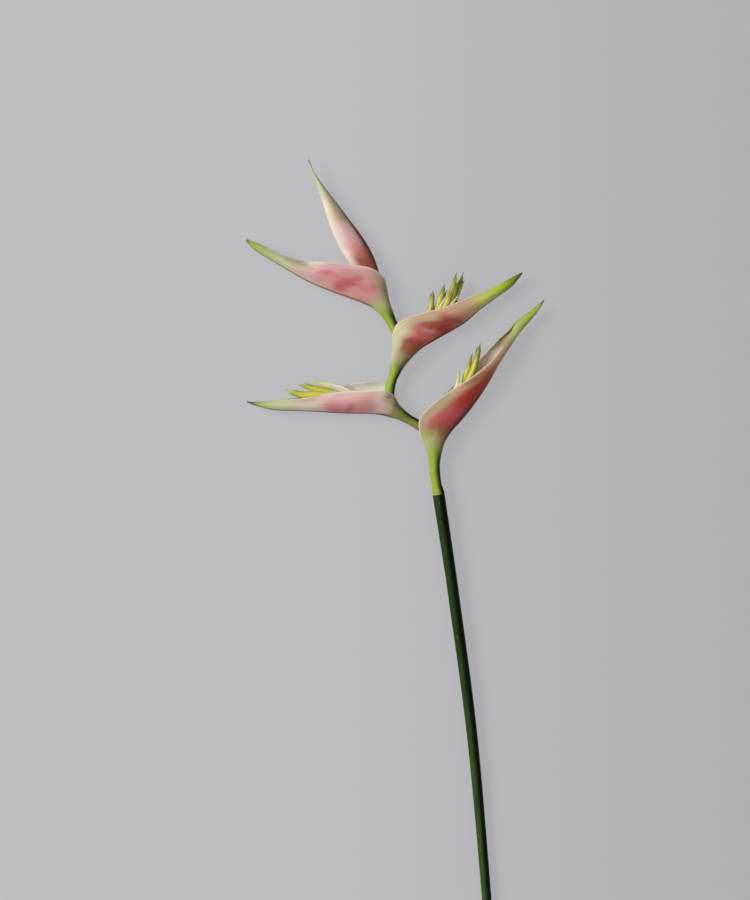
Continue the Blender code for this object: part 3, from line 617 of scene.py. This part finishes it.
def bract_paint(name):
    """Satin bract: its bands of colour, feathered into fine streaks that run lengthwise."""
    paint = Paint(name, 0.5)
    paint.shader.inputs["Subsurface Weight"].default_value = 0.15
    paint.shader.inputs["Subsurface Radius"].default_value = (1.0, 0.55, 0.35)
    paint.shader.inputs["Subsurface Scale"].default_value = 0.5 * MM
    looks = PAINT[name]
    along, side = chart = paint.chart()
    rimward = paint.value("MULTIPLY", paint.apart(paint.value("ABSOLUTE", side)), 2.0)
    offset = 3.0 * list(PAINT).index(name)
    streaks = paint.grain(chart, 2.5, 52.0, 4.0, 0.6, offset)
    clouds = paint.grain(chart, 7.0, 7.0, 3.0, 0.5, offset)
    feathered = paint.value("ADD", along, paint.slope(streaks, 0.25, 0.75, -0.024, 0.024))
    drifted = paint.value("ADD", rimward, paint.slope(clouds, 0.3, 0.7, -0.06, 0.06))

    keel = paint.ramp(feathered, looks["keel"])
    middle = paint.ramp(feathered, looks["middle"])
    rim = paint.ramp(feathered, looks["rim"])
    inside = paint.ramp(paint.value("ADD", along, paint.slope(clouds, 0.3, 0.7, -0.02, 0.02)),
                        looks["inside"])
    skin = paint.mix(paint.slope(drifted, 0.02, 0.40), keel, middle)
    skin = paint.mix(paint.slope(drifted, 0.52, 0.98), skin, rim)
    place = paint.vector(feathered, drifted)
    for u, c, reach_u, reach_c, tint, strength in looks["patches"]:
        skin = paint.patch(skin, place, (u, c), (reach_u, reach_c), tint, strength)
    # A dark line down the keel: partly the keel's own darker colour, partly painted shade.
    keel_line_and_shade = paint.value("MULTIPLY", paint.slope(rimward, *looks["line reach"], 0.92, 0.0),
                            paint.slope(along, 0.04, 0.16))
    skin = paint.mix(keel_line_and_shade, skin, paint.ramp(feathered, looks["line"]))
    # A cream line along the rim: partly a pale margin, partly a painted highlight.
    rim_line_and_highlight = paint.value("MULTIPLY", paint.slope(rimward, 0.955, 0.985, 0.0, 0.7),
                           paint.slope(along, 0.70, 0.82, 1.0, 0.0))
    skin = paint.mix(rim_line_and_highlight, skin, colour("cream"))
    # The base is painted like the axis: painted light on its left, painted shade down its right.
    green, keel_place, rim_place = looks["neck"]
    rightward = paint.slope(rimward, 0.0, 1.0, keel_place, rim_place, "LINEAR")
    skin = paint.mix(paint.slope(feathered, -0.05, 0.10), paint.neck(rightward, colour(green)), skin)
    skin = paint.mix(paint.slope(side, -0.005, -0.03), skin, inside)

    fine = paint.grain(chart, 9.0, 150.0, 2.0, 0.5, offset)
    within = paint.slope(side, -0.01, -0.03)
    fading = paint.value("MAXIMUM", paint.slope(along, 0.70, 0.90), within)
    fine = paint.mix(fading, fine, (0.5, 0.5, 0.5, 1.0))
    shade = paint.slope(fine, 0.2, 0.8, 0.92, 1.06)
    skin = paint.mix(1.0, skin, paint.node("CombineColor", {0: shade, 1: shade, 2: shade}),
                     blend="MULTIPLY")
    skin = paint.mix(paint.slope(feathered, *looks["tip"], 0.0, 0.9), skin, colour("point"))
    relief = paint.value("MULTIPLY", paint.slope(along, 0.60, 0.85, 1.0, 0.1),
                         paint.slope(within, 0.0, 1.0, 1.0, 0.1, "LINEAR"))
    paint.relief(paint.value("ADD", fine, streaks), 0.05, relief)
    return paint.finish(skin, paint.slope(clouds, 0.3, 0.7, 0.42, 0.58))


def rachis_paint():
    """Lime green axis with faint lengthwise streaks, darker down its right side with painted shade."""
    paint = Paint("rachis", 0.45, specular=0.09)
    along, side = chart = paint.chart()
    streaks = paint.grain(chart, 12.0, 26.0, 4.0, 0.6)
    base = paint.ramp(along, {0.0: "olive", 0.03: "lime", 0.24: "lime", 0.30: "olive",
                              0.40: "olive", 0.48: "lime"})
    skin = paint.mix(paint.slope(streaks, 0.35, 0.8, 0.0, 0.25), base, colour("pale_lime"))
    rightward = paint.value("MULTIPLY", paint.apart(side), 2.0)
    skin = paint.neck(rightward, skin)
    # Painted shade: near-black down the right of the axis's foot, just above the stem.
    painted_foot_shade = paint.value("MULTIPLY", paint.slope(along, 0.08, 0.03),
                           paint.slope(rightward, 0.54, 0.72))
    skin = paint.mix(painted_foot_shade, skin, colour("stem_dark_and_shade"))
    paint.relief(streaks, 0.06)
    return paint.finish(skin)


def stem_paint():
    """Dark green stem, olive towards the cut end, with fine ribs, pale specks and a pale pith.
    Painted shade darkens its right side, and the pale specks are painted highlights.
    """
    paint = Paint("stem", 0.38, specular=0.07)
    along, side = chart = paint.chart()
    streaks = paint.grain(chart, 18.0, 40.0, 5.0, 0.65)
    clouds = paint.grain(chart, 40.0, 6.0, 3.0, 0.5)
    base = paint.ramp(along, {0.50: "stem_green", 0.72: "stem_olive"})
    skin = paint.mix(paint.slope(streaks, 0.5, 0.85, 0.0, 0.35), base, colour("leaf_green"))
    skin = paint.mix(paint.slope(clouds, 0.5, 0.2, 0.0, 0.4), skin, colour("stem_dark_and_shade"))
    # Painted shade: near-black down the stem's right side.
    edge = paint.apart(side)
    skin = paint.mix(paint.slope(edge, 0.34, 0.18, 0.0, 0.95), skin, colour("stem_dark_and_shade"))
    # Pale specks that are painted highlights of a glossy skin.
    glint_specks = paint.node("TexVoronoi", {"Vector": paint.stretched(chart, 70.0, 5.0), "Scale": 1.0})
    skin = paint.mix(paint.slope(glint_specks, 0.07, 0.03, 0.0, 0.55), skin, colour("pith"))
    cut = paint.slope(along, 1.0, 1.004)
    fibres = paint.grain(chart, 300.0, 22.0, 3.0, 0.6)
    pith = paint.mix(paint.slope(fibres, 0.4, 0.65), colour("pith"), colour("lime"))
    pith = paint.mix(paint.slope(fibres, 0.66, 0.74), pith, colour("brown"))
    skin = paint.mix(cut, skin, pith)
    paint.relief(paint.value("ADD", streaks, clouds), 0.08)
    return paint.finish(skin, paint.slope(clouds, 0.3, 0.7, 0.34, 0.5))


def floret_paint(name, base, body, green, tip, olive):
    """Yellow sepals with green tips, painted shade in olive on their right-hand sides, and the pale
    blades.
    """
    paint = Paint(name, 0.5)
    along, side = chart = paint.chart()
    streaks = paint.grain(chart, 5.0, 22.0, 3.0, 0.6)
    shifted = paint.value("ADD", along, paint.slope(streaks, 0.25, 0.75, -0.05, 0.05))
    skin = paint.ramp(shifted, {0.0: "cream", 0.50: base, 0.64: body, 0.78: body,
                                0.89: green, 0.98: tip})
    edge = paint.apart(paint.value("FRACT", side))
    skin = paint.mix(paint.slope(edge, 0.22, 0.46, 0.0, olive), skin, colour("leaf_green"))
    skin = paint.mix(paint.slope(streaks, 0.5, 0.75, 0.0, 0.35), skin, colour("pale_yellow"))
    # Painted shade in olive down the florets' right-hand sides.
    lower_sepal = paint.value("MULTIPLY", paint.slope(side, 1.95, 2.05), paint.slope(side, 3.5, 3.0))
    shaded_right_side = paint.value("MAXIMUM", paint.slope(side, 0.55, 0.20), lower_sepal)
    skin = paint.mix(paint.value("MULTIPLY", shaded_right_side, olive), skin, colour("painted_floret_shade"))
    place = paint.node("VectorMath", {0: paint.node("TexCoord", {}, output=3),
                                      1: (1 / MM, 1 / MM, 0.0), 2: (-COLLAR[0], -COLLAR[1], 0.0)},
                       operation="MULTIPLY_ADD")
    for x, y, reach_x, reach_y, tint, strength in FLORET_PATCHES[name]:
        skin = paint.patch(skin, place, (x, y), (reach_x, reach_y), tint, strength)
    blade = paint.ramp(shifted, {0.0: "cream", 0.62: "ivory", 0.78: "pale_yellow",
                                 0.96: "celery"})
    skin = paint.mix(paint.slope(side, 5.9, 6.1), skin, blade)
    paint.relief(streaks, 0.05)
    return paint.finish(skin)


def rachis_path():
    """The flower axis as rows of (x, y, radius)."""
    foot = [(-up * math.sin(STEM_LEAN), up * math.cos(STEM_LEAN), radius) for up, radius in FOOT]
    return spline([*foot, *RACHIS], RACHIS_STEPS)


def make_rachis():
    """The flower axis, finely fluted, from its foot in the stem to the last bract."""
    path = rachis_path()
    points = np.column_stack([path[:, :2], np.zeros(len(path))])
    run = distances(points)
    angles = angles_round(RACHIS_SIDES)
    flutes = swelled(FLUTE_HEIGHT * np.cos(FLUTES * angles), angles, run[:, None], AXIS_SWELLS)
    rings = tube_rings(points, path[:, 2:] + flutes, RACHIS_SIDES)
    across = np.linspace(0.0, 1.0, RACHIS_SIDES + 1)
    solid("flower_axis", [(rings, run / run[-1], across)], "rachis", rachis_paint())


def make_stem():
    """The long stem, from the lip round the axis's foot to the cut end with its pale pith."""
    path = spline(STEM, STEM_STEPS)
    drop = (MID_HEIGHT - STEM[-1][2]) / -CUT_END_Y
    points = np.column_stack([path[:, :2], path[:, 1] * drop])
    angles = angles_round(STEM_SIDES)
    depth = -points[:, 1:2]
    varied = 1 - RIB_VARIES + RIB_VARIES * np.sin(depth * RIB_VARIES_BY)
    ribs = swelled(RIB_HEIGHT * np.cos(STEM_RIBS * angles) * varied, angles, depth, STEM_SWELLS)
    rings = tube_rings(points, path[:, 2:] + ribs, STEM_SIDES)
    rings[:, :, 2] = np.maximum(rings[:, :, 2], -MID_HEIGHT)

    way = np.array([-math.sin(STEM_LEAN), math.cos(STEM_LEAN), 0.0])
    lip = []
    for up, radius in LIP:
        ring = way * up + (rings[0] - points[0]) * radius / STEM[0][2]
        slant = LIP_SLANT * ring[:, 0] / STEM[0][2]
        lip.append(ring + way * slant[:, None] * ease(up, LIP_SLANT_FROM, 0.0))
    below = slice(1, 1 + SLANTED_RINGS)
    rings[below] += way * (LIP_SLANT * (rings[below, :, :1] - points[below, None, :1]) / STEM[0][2]
                           * np.linspace(SLANT_BELOW, 0.0, SLANTED_RINGS)[:, None, None])
    body = np.linspace(0.0, 1.0, len(rings))

    rng = np.random.default_rng(7)
    end = points[-1]
    cut = []
    for share in np.linspace(0.0, CUT_INNERMOST, CUT_RINGS):
        inward = 1 - share
        ring = end + (rings[-1] - end) * (inward if share else CUT_EDGE)
        bundles = rng.uniform(*CUT_ROUGHNESS, STEM_SIDES) * min(1.0, CUT_ROUGHENS * share) * inward
        ring[:, 1] += -CUT_SUNK + CUT_CROWN * share * inward + bundles
        cut.append(ring)
    along = np.concatenate([np.zeros(len(lip)), body[1:], np.linspace(*CUT_CHART, CUT_RINGS)])
    rings = np.concatenate([lip, rings[1:], cut])
    across = np.linspace(0.0, 1.0, STEM_SIDES + 1)
    solid("long_stem", [(rings, along, across)], "stem", stem_paint())


def cheek(belly, height, mouth, crease, steps):
    """One cheek's outer profile as (across, up), from the keel to the rim."""
    share = min(mouth / belly, 1.0)
    end = math.pi - math.asin(share ** (1 / crease))
    angle = np.linspace(0.0, end, steps + 1)
    across = belly * np.sin(angle) ** crease
    up = height * (1 - np.cos(angle)) / (1 - math.cos(end))
    return np.column_stack([across, up])


def lining(belly, height, mouth, crease, wall, steps):
    """The cheek's inner profile, from keel to rim: the wall thins towards the rim."""
    fine = cheek(belly, height, mouth, crease, LINING_STEPS)
    along = normed(np.gradient(fine, axis=0))
    walls = wall * (1 - RIM_THINS * np.linspace(0.0, 1.0, len(fine)) ** 2)
    inner = fine + walls[:, None] * np.column_stack([-along[:, 1], along[:, 0]])
    first = np.nonzero(inner[:, 0] <= 0)[0].max() + 1
    before, after = inner[first - 1], inner[first]
    keel = before + (after - before) * before[0] / (before[0] - after[0])
    return evenly(np.vstack([keel, inner[first:]]), steps + 1)


def rim_arc(outer, inner):
    """Points that round the rim off, between the outer and the inner profile's ends."""
    middle = (outer[-1] + inner[-1]) / 2
    half = (outer[-1] - inner[-1]) / 2
    rise = np.array([-half[1], half[0]])
    if rise[1] < 0:
        rise = -rise
    turn = np.linspace(0, math.pi, RIM_STEPS + 2)[1:-1, None]
    return middle + half * np.cos(turn) + rise * np.sin(turn)


def bract_ring(row, share, phase):
    """One cross-section of a bract, with raised veins, a keel ridge and a waved rim."""
    keel, rim, (belly, mouth, lean) = row[0:2], row[2:4], row[4:7]
    chord = rim - keel
    length = np.linalg.norm(chord)
    lean = math.radians(lean)
    height = length / math.cos(lean)
    crease = 1 + (KEEL_CREASE - 1) * ease(share, CREASE_STARTS, CREASE_ENDS)
    wall = min(BRACT_WALL, WALL_TO_BELLY * belly, WALL_TO_HEIGHT * height)
    fill = ease(share, POINT_STARTS, POINT_ENDS)
    outer = cheek(belly, height, mouth, crease, OUTER_STEPS)
    inner = lining(belly, height, mouth, crease, wall, INNER_STEPS)
    inner[:, 0] *= 1 - POINT_NARROWS * fill
    inner[:, 1] = height - (height - inner[:, 1]) * (1 - POINT_RISES * fill)

    rimward = np.linspace(0.0, 1.0, OUTER_STEPS + 1)
    strength = ease(share, *RELIEF_STARTS) * min(1.0, belly / RELIEF_BELLY)
    veins = VEIN_HEIGHT * strength * np.cos(2 * math.pi * VEINS * rimward)
    veins *= ease(rimward, *VEINS_START)
    along = normed(np.gradient(outer, axis=0))
    outer += veins[:, None] * np.column_stack([along[:, 1], -along[:, 0]])
    outer[:, 1] -= KEEL_RIDGE * strength * (1 - ease(rimward, 0.0, KEEL_RIDGE_REACH))

    near, far = [], []
    long, short = RIM_WAVES
    for side, profiles in ((1, near), (-1, far)):
        for profile in (outer, rim_arc(outer, inner), inner):
            bent = profile.copy()
            level = np.clip(bent[:, 1] / height, 0.0, 1.0)
            wave = (math.sin(share * long + phase + side)
                    + SHORT_WAVE * math.sin(share * short + 2 * phase))
            bent[:, 0] += side * RIM_WAVE * strength * wave * level ** 2 * min(1.0, mouth / WAVE_MOUTH)
            bent[:, 0] *= side
            profiles.append(bent)
    loop = np.vstack([near[0][::-1], far[0][1:], far[1], far[2][::-1], near[2][1:], near[1][::-1]])
    chord_way = np.array([*(chord / length), 0.0])
    upward = np.array([0.0, 0.0, 1.0])
    up = chord_way * math.cos(lean) + upward * math.sin(lean)
    side = upward * math.cos(lean) - chord_way * math.sin(lean)
    middle = np.array([*((keel + rim) / 2), 0.0])
    points = middle + np.outer(loop[:, 1] - height / 2, up) + np.outer(loop[:, 0], side)
    lowest = points[:, 2].min()
    if lowest < -MID_HEIGHT:
        points[:, 2] = np.where(points[:, 2] < 0, points[:, 2] * MID_HEIGHT / -lowest, points[:, 2])
    return points


def skirt_rows(base):
    """Rows that let a bract's base grow out of the flower axis below it."""
    path = rachis_path()
    keel, rim = np.array(base[0:2]), np.array(base[2:4])
    nearest = np.argmin(np.linalg.norm(path[:, :2] - (keel + rim) / 2, axis=1))
    run = distances(path[:, :2])
    rows = []
    for below, grown in SKIRT:
        at = np.searchsorted(run, run[nearest] - below)
        way = path[at + 1, :2] - path[at - 1, :2]
        across = np.array([way[1], -way[0]]) / np.linalg.norm(way)
        across *= math.copysign(1.0, across @ (keel - rim))
        radius = path[at, 2] + grown * (base[4] - path[at, 2]) - SKIRT_SUNK * (grown == 0)
        centre = path[at, :2]
        rows.append((*(centre + across * radius), *(centre - across * radius),
                     radius, SKIRT_MOUTH, 0.0))
    return rows


def make_bract(name, stations):
    """One bract, a folded shell that grows out of the axis and is open along its rim."""
    rows = spline([*skirt_rows(stations[0]), *stations], BRACT_STEPS)
    rows[:, 5] = np.clip(rows[:, 5], NARROWEST_MOUTH, None)
    along = (np.arange(len(rows)) / BRACT_STEPS - len(SKIRT)) / (len(stations) - 1)
    phase = BRACT_PHASE * list(BRACTS).index(name)
    rings = [bract_ring(row, share, phase) for row, share in zip(rows, np.clip(along, 0.0, 1.0))]
    outside = np.linspace(1.0, 0.0, 2 * OUTER_STEPS + 1)
    inside = np.linspace(-RIM_CHART, RIM_CHART - 1.0, 2 * INNER_STEPS + 1)
    edge = np.linspace(0.0, -RIM_CHART, RIM_STEPS + 2)[1:-1]
    across = np.concatenate([outside, edge, inside, -1.0 - edge[::-1], [-1.0]])
    solid(name + "_skin", [(rings, along, across)], name, bract_paint(name))


def floret_lofts(points, widest, turn):
    """A floret: three sepals that part near the tip, round the petals."""
    shares = np.linspace(0.0, 1.0, len(points))
    swell = FLORET_ROOT + (1 - FLORET_ROOT) * ease(shares, 0.0, FLORET_WIDEST)
    left = part_way(shares, FLORET_WIDEST)
    radii = widest * np.where(left > 0, 1 - (1 - FLORET_POINT) * left ** FLORET_TAPER, swell)
    level, up = frames(points)
    run = points[-1] - points[-len(points) // 5]
    aside = np.array([-run[1], run[0], 0.0]) / math.hypot(run[0], run[1])
    lift = np.array([0.0, 0.0, SEPAL_LIFT])
    ends = ((0, 1.0), (1, SEPAL_ENDS), (-1, SEPAL_ENDS - SEPAL_STAGGER))
    for number, (side, end) in enumerate(ends):
        use = shares <= end
        stretch = part_way(shares[use], SEPAL_LEAVES, SEPAL_ENDS)
        away = np.outer(stretch ** SEPAL_BEND, (aside * side + lift * abs(side)) * SEPAL_SPREAD)
        narrowing = 1 - SEPAL_NARROWS * ease(shares[use], SEPAL_LEAVES, end)
        closing = 1 - SEPAL_CLOSES * ease(shares[use], end - SEPAL_CLOSES_OVER, end)
        middle = math.radians(90 + 120 * side) + turn
        half = math.radians(SEPAL_HALF_ANGLE) * narrowing * closing
        fan = np.linspace(-1.0, 1.0, SEPAL_STEPS)
        angle = middle + half[:, None] * fan
        keel = 1 + SEPAL_KEEL * np.cos(fan * math.pi / 2) ** 8 - SEPAL_EDGE * np.abs(fan) ** 6
        outer = radii[use][:, None] * keel
        wall = np.minimum(SEPAL_WALL, SEPAL_WALL_SHARE * radii[use])[:, None]
        wall = wall * (1 - SEPAL_EDGE_THINS * fan ** 2)
        rings = []
        for radius, turned in ((outer, angle), ((outer - wall)[:, ::-1], angle[:, ::-1])):
            rings.append(points[use][:, None, :] + away[:, None, :]
                         + (radius * np.cos(turned))[:, :, None] * level[use][:, None, :]
                         + (radius * np.sin(turned))[:, :, None] * up[use][:, None, :])
        places = np.linspace(0.02, 0.98, SEPAL_STEPS)
        across = number + np.concatenate([places, places[::-1], places[:1]])
        yield np.concatenate(rings, axis=1), shares[use], across
    use = shares <= PETAL_ENDS
    closing = 1 - PETAL_CLOSES * ease(shares[use], PETAL_ENDS - PETAL_CLOSES_OVER, PETAL_ENDS)
    inside = PETAL_RADIUS * radii[use] * closing
    yield tube_rings(points[use], inside, PETAL_SIDES), shares[use], chart_round(PETAL_SIDES)


def chart_round(sides):
    """Across the chart, the places of a ring of the petals or the stub."""
    return np.linspace(PETAL_CHART - CHART_REACH, PETAL_CHART + CHART_REACH, sides + 1)


def blade_loft(line, widest):
    """A pale flat blade with a round tip."""
    shares = np.linspace(0.0, 1.0, len(line))
    radii = widest * (FLORET_ROOT + (1 - FLORET_ROOT) * ease(shares, 0.0, BLADE_WIDEST))
    radii *= 1 - (1 - BLADE_TIP) * part_way(shares, BLADE_WIDEST) ** BLADE_TAPER
    radii *= np.sqrt(np.clip(1 - part_way(shares, BLADE_ROUNDS) ** 2, BLADE_END, 1.0))
    blade = tube_rings(line, radii, PETAL_SIDES)
    blade[:, :, 2] = line[:, 2:] + (blade[:, :, 2] - line[:, 2:]) * BLADE_FLATNESS
    return blade, shares, np.full(PETAL_SIDES + 1, BLADE_CHART)


def make_florets(name, heading, florets):
    """One bract's bunch of florets on their short common stub."""
    path = rachis_path()
    heading = np.array(heading)
    nearest = path[np.argmin(np.linalg.norm(path[:, :2] - heading[:2], axis=1))]
    centre = np.array([nearest[0], nearest[1], 0.0])
    ahead = (heading - centre) / np.linalg.norm(heading - centre)
    seat = centre + ahead * (nearest[2] + GAP)
    start = [seat + ahead * STUB_RADIUS, heading]
    lofts = []
    for number, (route, widest) in enumerate(florets):
        line = evenly(spline([*start, *route], FLORET_STEPS), FLORET_RINGS)
        lofts += floret_lofts(line, widest, FLORET_TURN * number)
    for route, widest in BLADES[name]:
        line = evenly(spline([*start, *route], FLORET_STEPS), FLORET_RINGS)
        lofts.append(blade_loft(line, widest))
    reach = np.linalg.norm(heading - seat)
    stub = spline([(*(seat + ahead * reach * share), STUB_RADIUS * radius)
                   for share, radius in STUB], STUB_STEPS)
    lofts.append((tube_rings(stub[:, :3], stub[:, 3], STUB_SIDES), np.zeros(len(stub)),
                  chart_round(STUB_SIDES)))
    paint = floret_paint(name, *FLORET_COLOURS[name])
    solid(name + "_blooms", lofts, name, paint)


def make_stage():
    """A large pale floor just under the flower, lit a little from within like a light table.
    Painted shade darkens it towards the right.
    """
    corners = [(x * FLOOR_HALF, y * FLOOR_HALF, 0) for x, y in ((-1, -1), (1, -1), (1, 1), (-1, 1))]
    mesh = bpy.data.meshes.new("floor")
    mesh.from_pydata(corners, [], [(0, 1, 2, 3)])
    floor = placed("floor", mesh)
    floor.location.z = -FLOOR_DROP * MM
    paint = Paint("floor", 0.9, specular=0.0)
    from_left = paint.split(paint.node("TexCoord", {}, output=3))[0]
    shade = paint.slope(from_left, FLOOR_FADES_FROM, FLOOR_FADES_TO)
    tone = paint.mix(shade, colour("floor"), colour("floor_shade_right"))
    paint.feed(paint.shader.inputs["Emission Color"], tone)
    paint.shader.inputs["Emission Strength"].default_value = FLOOR_GLOW
    dim = paint.mix(1.0, tone, (*[1 - FLOOR_GLOW] * 3, 1.0), blend="MULTIPLY")
    mesh.materials.append(paint.finish(dim))


def make_light(name, strength, spread, toward):
    """A soft far light that shines from the direction given."""
    light = bpy.data.lights.new(name, "SUN")
    light.energy = strength
    light.angle = math.radians(spread)
    placed(name, light).rotation_euler = Vector(toward).to_track_quat("Z", "Y").to_euler()


def make_camera():
    """The camera, high above the flower and level with the photo's frame."""
    camera = bpy.data.cameras.new("camera")
    camera.sensor_width = SENSOR
    camera.lens = SENSOR * (CAMERA_HEIGHT - MID_HEIGHT) / FRAME_HEIGHT
    view = placed("camera", camera)
    view.location = Vector((*(FRAME_MIDDLE + COLLAR[:2]), CAMERA_HEIGHT)) * MM
    bpy.context.scene.camera = view


def make_world():
    """Even pale light from all round."""
    world = bpy.data.worlds.new("studio")
    world.use_nodes = True
    sky = world.node_tree.nodes["Background"]
    sky.inputs["Color"].default_value = SKY
    sky.inputs["Strength"].default_value = SKY_STRENGTH
    bpy.context.scene.world = world


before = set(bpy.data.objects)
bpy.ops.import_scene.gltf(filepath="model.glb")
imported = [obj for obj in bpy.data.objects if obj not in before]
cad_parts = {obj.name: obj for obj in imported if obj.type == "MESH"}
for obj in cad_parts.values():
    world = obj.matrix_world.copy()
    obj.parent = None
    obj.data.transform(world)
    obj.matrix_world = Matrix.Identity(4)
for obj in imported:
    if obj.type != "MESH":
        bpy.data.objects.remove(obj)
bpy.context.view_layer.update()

make_stem()
make_rachis()
for bract, stations in BRACTS.items():
    make_bract(bract, stations)
for bunch, (heading, florets) in FLORETS.items():
    make_florets(bunch, heading, florets)

make_stage()
make_world()
for light, looks in LIGHTS.items():
    make_light(light, *looks)
make_camera()
bpy.context.scene.view_settings.view_transform = "Standard"
